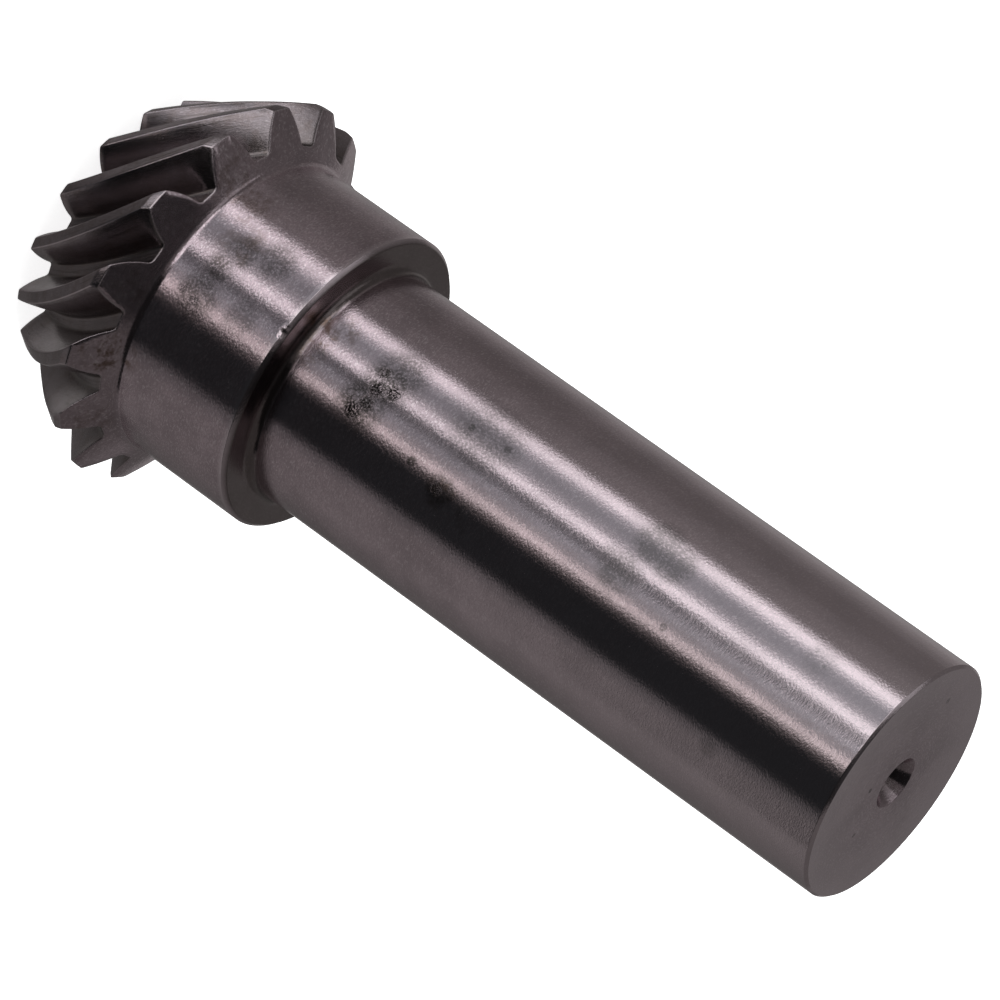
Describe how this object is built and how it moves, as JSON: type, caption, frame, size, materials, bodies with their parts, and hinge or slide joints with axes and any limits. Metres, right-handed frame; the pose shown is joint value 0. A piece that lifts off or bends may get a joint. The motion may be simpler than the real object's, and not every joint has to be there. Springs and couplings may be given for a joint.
{
  "type": "spiral bevel pinion shaft",
  "caption": "One-piece steel spiral bevel pinion with a bearing collar and a long plain shaft, machined bright and worn.",
  "frame": {"origin": "on the pinion's axis, in the plane of the toe tips, which the part stands on", "axes": "+Z along the axis from the small ends of the teeth to the shaft end; +X runs through the middle of a tooth space at mid face"},
  "size_m": [0.0497, 0.0496, 0.1153],
  "materials": {
    "machined_steel": "turned and ground steel with fine tool lines, light stains and small pits"
  },
  "bodies": {
    "root": {"bevel_pinion_shaft": "machined_steel"}
  },
  "joints": []
}
